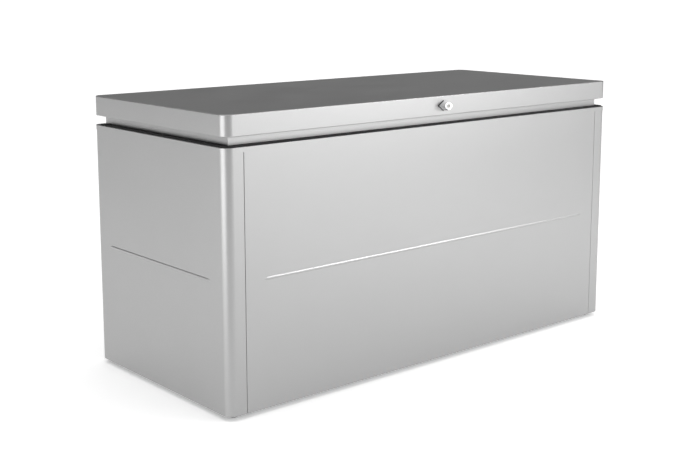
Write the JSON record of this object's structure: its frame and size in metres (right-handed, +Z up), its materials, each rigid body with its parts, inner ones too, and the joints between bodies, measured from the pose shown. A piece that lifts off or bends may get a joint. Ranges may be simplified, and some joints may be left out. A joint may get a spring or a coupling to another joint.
{
  "type": "cushion box",
  "caption": "Large metal cushion box with a hinged, gas-sprung lid over a set-back band, a lockable knob, pressed wall lines and levelling feet.",
  "frame": {"origin": "on the ground, in the middle of the outline in plan, the knob included", "axes": "+X along the front to the viewer's right, +Y from the front to the back, +Z up"},
  "size_m": [1.6, 0.723, 0.835],
  "materials": {
    "silver_coating": "satin metallic stove enamel",
    "galvanised_sheet": "galvanised",
    "zinc_plated_steel": "zinc plated",
    "black_rubber": "matt",
    "black_plastic": "fine grain",
    "bright_chrome": "polished",
    "nickel_plate": "satin nickel",
    "black_tube_paint": "semi-gloss black",
    "ground_steel": "ground and hardened"
  },
  "bodies": {
    "base": {"left_side_panel": "silver_coating", "right_side_panel": "silver_coating", "front_panel": "silver_coating", "back_panel": "silver_coating", "top_frame_front": "silver_coating", "top_frame_back": "silver_coating", "top_frame_left": "silver_coating", "top_frame_right": "silver_coating", "lid_seal": "black_rubber", "floor_panel": "galvanised_sheet", "floor_rails": "galvanised_sheet", "foot_brackets": "galvanised_sheet", "foot_nuts": "zinc_plated_steel", "hinge_body_leaf_left": "galvanised_sheet", "hinge_body_leaf_right": "galvanised_sheet", "hinge_pin_left": "zinc_plated_steel", "hinge_pin_right": "zinc_plated_steel", "hinge_rivets_body": "zinc_plated_steel", "spring_wall_bracket_left": "galvanised_sheet", "spring_wall_bracket_right": "galvanised_sheet", "strike_pin": "galvanised_sheet", "seam_bolts_left": "zinc_plated_steel", "seam_bolts_right": "zinc_plated_steel", "seam_nuts_left": "zinc_plated_steel", "seam_nuts_right": "zinc_plated_steel"},
    "lid": {"lid_shell": "silver_coating", "lid_tray": "silver_coating", "lid_stiffeners": "galvanised_sheet", "hinge_lid_leaf_left": "galvanised_sheet", "hinge_lid_leaf_right": "galvanised_sheet", "hinge_rivets_lid": "zinc_plated_steel", "spring_lid_bracket_left": "galvanised_sheet", "spring_lid_bracket_right": "galvanised_sheet", "lock_pad": "black_rubber", "lock_housing": "zinc_plated_steel", "lock_nut": "zinc_plated_steel"},
    "knob": {"lock_knob": "bright_chrome", "lock_spindle": "zinc_plated_steel", "lock_cam": "zinc_plated_steel", "cam_nut": "zinc_plated_steel"},
    "key": {"key_plug": "nickel_plate"},
    "tube_left": {"gas_tube_left": "black_tube_paint"},
    "tube_right": {"gas_tube_right": "black_tube_paint"},
    "rod_left": {"gas_rod_left": "ground_steel"},
    "rod_right": {"gas_rod_right": "ground_steel"},
    "foot_front_left": {"foot_front_left": "black_plastic"},
    "foot_front_right": {"foot_front_right": "black_plastic"},
    "foot_back_left": {"foot_back_left": "black_plastic"},
    "foot_back_right": {"foot_back_right": "black_plastic"}
  },
  "joints": [
    {"name": "lid_hinge", "type": "hinge", "parent": "base", "child": "lid", "pos_m": [0, 0.3475, 0.762], "axis": [-1, 0, 0], "range_deg": [0, 80]},
    {"name": "knob_turn", "type": "hinge", "parent": "lid", "child": "knob", "pos_m": [0, -0.34, 0.8055], "axis": [0, 1, 0], "range_deg": [0, 90]},
    {"name": "key_turn", "type": "hinge", "parent": "knob", "child": "key", "pos_m": [0, -0.355, 0.8055], "axis": [0, 1, 0], "range_deg": [0, 90]},
    {"name": "gas_tube_left_turn", "type": "hinge", "parent": "base", "child": "tube_left", "pos_m": [-0.731, 0.2875, 0.43], "axis": [-1, 0, 0], "range_deg": [0, 34.37]},
    {"name": "gas_rod_left_slide", "type": "slide", "parent": "tube_left", "child": "rod_left", "axis": [0, -0.585, 0.811], "range_m": [0, 0.22728]},
    {"name": "gas_tube_right_turn", "type": "hinge", "parent": "base", "child": "tube_right", "pos_m": [0.731, 0.2875, 0.43], "axis": [-1, 0, 0], "range_deg": [0, 34.37]},
    {"name": "gas_rod_right_slide", "type": "slide", "parent": "tube_right", "child": "rod_right", "axis": [0, -0.585, 0.811], "range_m": [0, 0.22728]},
    {"name": "foot_front_left_level", "type": "slide", "parent": "base", "child": "foot_front_left", "axis": [0, 0, 1], "range_m": [-0.008, 0]},
    {"name": "foot_front_right_level", "type": "slide", "parent": "base", "child": "foot_front_right", "axis": [0, 0, 1], "range_m": [-0.008, 0]},
    {"name": "foot_back_left_level", "type": "slide", "parent": "base", "child": "foot_back_left", "axis": [0, 0, 1], "range_m": [-0.008, 0]},
    {"name": "foot_back_right_level", "type": "slide", "parent": "base", "child": "foot_back_right", "axis": [0, 0, 1], "range_m": [-0.008, 0]}
  ],
  "couplings": [
    {"joint": "gas_tube_left_turn", "follows": "lid_hinge", "ratio": 0.42948},
    {"joint": "gas_rod_left_slide", "follows": "lid_hinge", "m_per_rad": 0.16271},
    {"joint": "gas_tube_right_turn", "follows": "lid_hinge", "ratio": 0.42948},
    {"joint": "gas_rod_right_slide", "follows": "lid_hinge", "m_per_rad": 0.16271}
  ]
}
